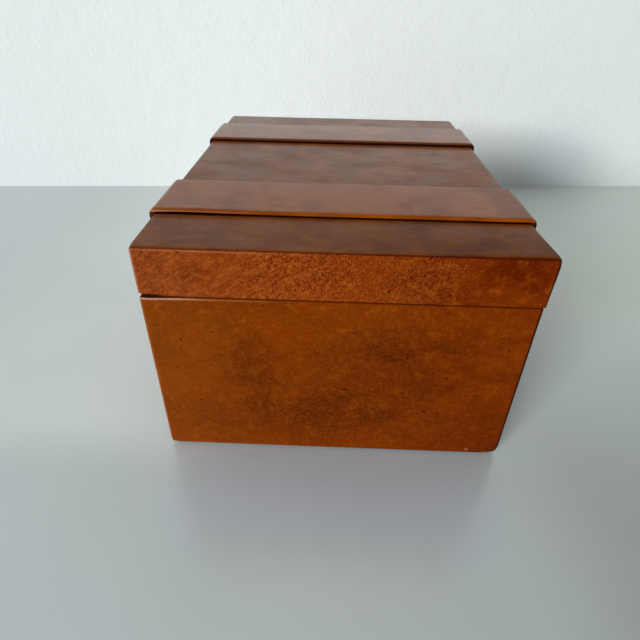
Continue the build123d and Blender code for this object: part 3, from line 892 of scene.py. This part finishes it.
def screwShape(x, y, face, inward, turn):
    # A slotted countersunk wood screw, its head flush with a leaf's face
    head, dome, segments = screwLook["head"], screwLook["dome"], screwLook["segments"]
    shank, plain, length = screwLook["shank"], screwLook["plain"], screwLook["length"]
    profile = [(0.001, dome), (0.5 * head, 0.8 * dome), (0.9 * head, 0.25 * dome), (head, -0.02),
               (head, -0.1), (shank, -screwLook["coneDeep"]), (shank, -plain)]
    step = screwLook["threadPitch"] / 2
    for k in range(int((length - screwLook["tip"] - plain) / step)):
        groove = screwLook["threadDeep"] if k % 2 == 0 else 0
        profile.append((shank - groove, -plain - (k + 1) * step))
    profile += [(0.35 * shank, 0.5 - length), (0.001, -length)]
    shape, rows = bmesh.new(), []
    angles = [2 * math.pi * i / segments for i in range(segments)]
    for radius, up in profile:
        rows.append([shape.verts.new((x + radius * math.cos(a), y + radius * math.sin(a),
                                      face - inward * up)) for a in angles])
    bridge(shape, rows, ends=True)
    bmesh.ops.remove_doubles(shape, verts=shape.verts, dist=0.002)
    bmesh.ops.recalc_face_normals(shape, faces=shape.faces)
    wide, deep = screwLook["slotWide"] / 2, screwLook["slotDeep"]
    low, high = sorted((face + inward * deep, face - inward * 1.0))
    slotCut = boxShape((-3, -wide, low), (3, wide, high))
    for vertex in slotCut.verts:
        a, (px, py, pz) = math.radians(turn), vertex.co
        vertex.co = Vector((x + px * math.cos(a) - py * math.sin(a),
                            y + px * math.sin(a) + py * math.cos(a), pz))
    return carve(shape, [slotCut])


finishes = {
    "board": plywood("plywood"), "card": card("millboard"), "brass": brass("satinBrass"),
    "suede": suede("brownSuede"), "felt": felt("brownFelt"),
    "body": leather("waxedLeatherBody", bodyLook, bodyFoot, bodyRim),
    "lid": leather("waxedLeatherLid", lidLook, lidTop, lidRim),
    "strap": strapLeather("bridleLeather"),
}
print("finishes mixed:", len(finishes))

makeObject("body_cover", bodyCover(), finishes["body"], "box_body", "body_leather")
makeObject("lid_cover", lidCover(), finishes["lid"], "box_lid", "lid_leather")
print("covers laid")

for side in ("left", "right"):
    node = side + "_strap"
    makeObject(side + "_lid_strap", strapShape(node, side == "right"), finishes["strap"],
               "box_lid", node)
print("straps laid")

for tray, body in (("body", "box_body"), ("lid", "box_lid")):
    for wall, face in (("front", "+y"), ("back", "-y"), ("left", "+x"), ("right", "-x")):
        node = tray + "_" + wall + "_lining"
        counts = liningLook["longCounts" if "y" in face else "endCounts"]
        shape = slab(node, face, liningLook, counts, len(wall))
        makeObject(node.replace("_lining", "_suede"), shape, finishes["suede"], body, node)
for node, face, body in (("body_floor_pad", "+z", "box_body"), ("lid_ceiling_pad", "-z", "box_lid")):
    shape = slab(node, face, padLook, padLook["counts"], 7)
    pad = makeObject(node.replace("_pad", "_cushion"), shape, finishes["suede"], body, node)
shape = slab("base_felt", "-z", footLook, footLook["counts"], 5)
makeObject("felt_foot", shape, finishes["felt"], "box_body", "base_felt")
print("linings, pads and felt laid")

turns = iter(screwLook["turns"])
for side in ("left", "right"):
    for tray, body in (("body", "box_body"), ("lid", "box_lid")):
        node = side + "_hinge_" + tray + "_screws"
        low, high = span(node)
        inward = -1 if tray == "body" else 1
        face = high.z if tray == "body" else low.z
        joined = bmesh.new()
        for x in (low.x + screwLook["head"], high.x - screwLook["head"]):
            screw = screwShape(x, (low.y + high.y) / 2, face, inward, next(turns))
            mesh = meshOf(screw, "screw")
            joined.from_mesh(mesh)
            bpy.data.meshes.remove(mesh)
        makeObject(node + "_slotted", joined, finishes["brass"], body, node, sharp=30)
        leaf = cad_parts[side + "_hinge_" + tray + "_leaf"]
        weld = leaf.modifiers.new("weld", "WELD")
        weld.merge_threshold = leafLook["weld"] * mm
        ease = leaf.modifiers.new("ease", "BEVEL")
        ease.width, ease.segments, ease.limit_method = leafLook["bevel"] * mm, 2, "ANGLE"
        ease.angle_limit = math.radians(leafLook["bevelFrom"])
print("hinges dressed")

slotFinish = {"box_leather": "body", "strap_leather": "strap"}  # the others go by the slot's name
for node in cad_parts.values():
    for holder in node.material_slots:
        slotName = holder.material.name.split(".")[0]
        holder.material = finishes[slotFinish.get(slotName, slotName)]

stageLook = {
    "table": tone(193, 202, 201), "wall": tone(232, 238, 237), "wallShadow": (0.7, 0.73, 0.78),
    "tableLightAndShade": {"opening": (1.33, 1.31, 1.28), "backLeft": (1.17, 1.13, 1.04),
                   "backRight": (0.83, 0.78, 0.79), "near": (1.0, 1.02, 1.1)},  # painted light and shade on the table beside the box
    "wallLine": ((-0.3003, -0.4629), (-0.3742, 0.4445)),  # two places where the wall meets the table
    "sky": (0.96, 0.98, 1.0), "skyStrength": 0.24,
    "window": {"at": (3.5, -2.6, 1.4), "size": (1.4, 1.1), "watts": 184, "tint": (0.98, 0.99, 1.0)},
    "room": {"at": (1.3, 1.5, 1.0), "size": (1.6, 1.2), "watts": 2, "tint": (1.0, 0.98, 0.95)},
}


def plane(name, corners, material):
    mesh = bpy.data.meshes.new(name)
    mesh.from_pydata(corners, [], [(0, 1, 2, 3)])
    mesh.materials.append(material)
    linkObject(name, mesh)


def tableTop():
    p = Paint("paintedTable")
    haze = p.cloud(120, 2)
    frontRightShade = (p.x * 0.7 + p.y).ramp(120, 420)  # painted shade: the table is darker there
    colour = p.vary(stageLook["table"], 0.5 + (haze - 0.5) * 0.2 - frontRightShade * 0.5, 0.24)
    back = p.y.ramp(90, 160)
    # Painted light and shade on the table round the box: lighter by the opening side and behind on the
    # left, shadow behind on the right, a bluish painted light in front of the near end.
    places = {
        "opening": p.y.ramp(-360, -120) * p.y.ramp(-40, -100) * p.x.ramp(165, 110),
        "backLeft": back * p.x.ramp(90, -50), "backRight": back * p.x.ramp(60, 190),
        "near": p.x.ramp(130, 142) * p.x.ramp(230, 160) * p.y.ramp(-110, -60) * p.y.ramp(110, 60)}
    for name, place in places.items():
        colour = p.blend(place, colour, p.tint(colour, stageLook["tableLightAndShade"][name]))
    return p.oneSided(Base_Color=colour, Roughness=0.2 + haze * 0.06, Normal=p.bump(p.cloud(3, 3), 0.01),
                      IOR=1.75)


def wallPaint():
    p = Paint("paintedWall")
    shaded = p.vary(stageLook["wall"], p.y.ramp(-460, 20), 0.09)
    shadow = p.reach(-363, 300, 10).ramp(110, 20)
    shaded = p.blend(shadow * 0.6, shaded, p.tint(shaded, stageLook["wallShadow"]))
    return p.oneSided(Base_Color=shaded, Roughness=0.9,
                      Normal=p.bump(p.cloud(5, 3, 0.6), 0.6, p.bump(p.cloud(22, 2), 0.9)))


far = 4.0
(x0, y0), (x1, y1) = stageLook["wallLine"]
slope = (x1 - x0) / (y1 - y0)
wallNear, wallFar = (x0 + slope * (-far - y0), -far), (x0 + slope * (far - y0), far)
plane("table_top", [(*wallNear, 0), (far, -far, 0), (far, far, 0), (*wallFar, 0)], tableTop())
plane("room_wall", [(*wallNear, 0), (*wallFar, 0), (*wallFar, 3), (*wallNear, 3)], wallPaint())


def lamp(name, look):
    data = bpy.data.lights.new(name, "AREA")
    data.shape, data.size, data.size_y = "RECTANGLE", *look["size"]
    data.energy, data.color = look["watts"], look["tint"]
    held = linkObject(name, data)
    held.location = look["at"]
    held.rotation_euler = (Vector((0, 0, 0.06)) - held.location).to_track_quat("-Z", "Y").to_euler()


for name in ("window", "room"):
    lamp(name, stageLook[name])

world = bpy.data.worlds.new("room")
scene.world = world
world.use_nodes = True
sky = world.node_tree.nodes["Background"]
sky.inputs["Color"].default_value = (*stageLook["sky"], 1)
sky.inputs["Strength"].default_value = stageLook["skyStrength"]

cameraLook = {"at": (0.33642, -0.00521, 0.23614), "turn": (55.185, -0.959, 91.925), "lens": 27.234}
lens = bpy.data.cameras.new("camera")
lens.lens, lens.sensor_width, lens.clip_start = cameraLook["lens"], 36, 0.01
camera = linkObject("camera", lens)
camera.location = cameraLook["at"]
camera.rotation_euler = Euler([math.radians(angle) for angle in cameraLook["turn"]])
scene.camera = camera
scene.view_settings.view_transform = "Standard"
print("stage, lamps and camera set")
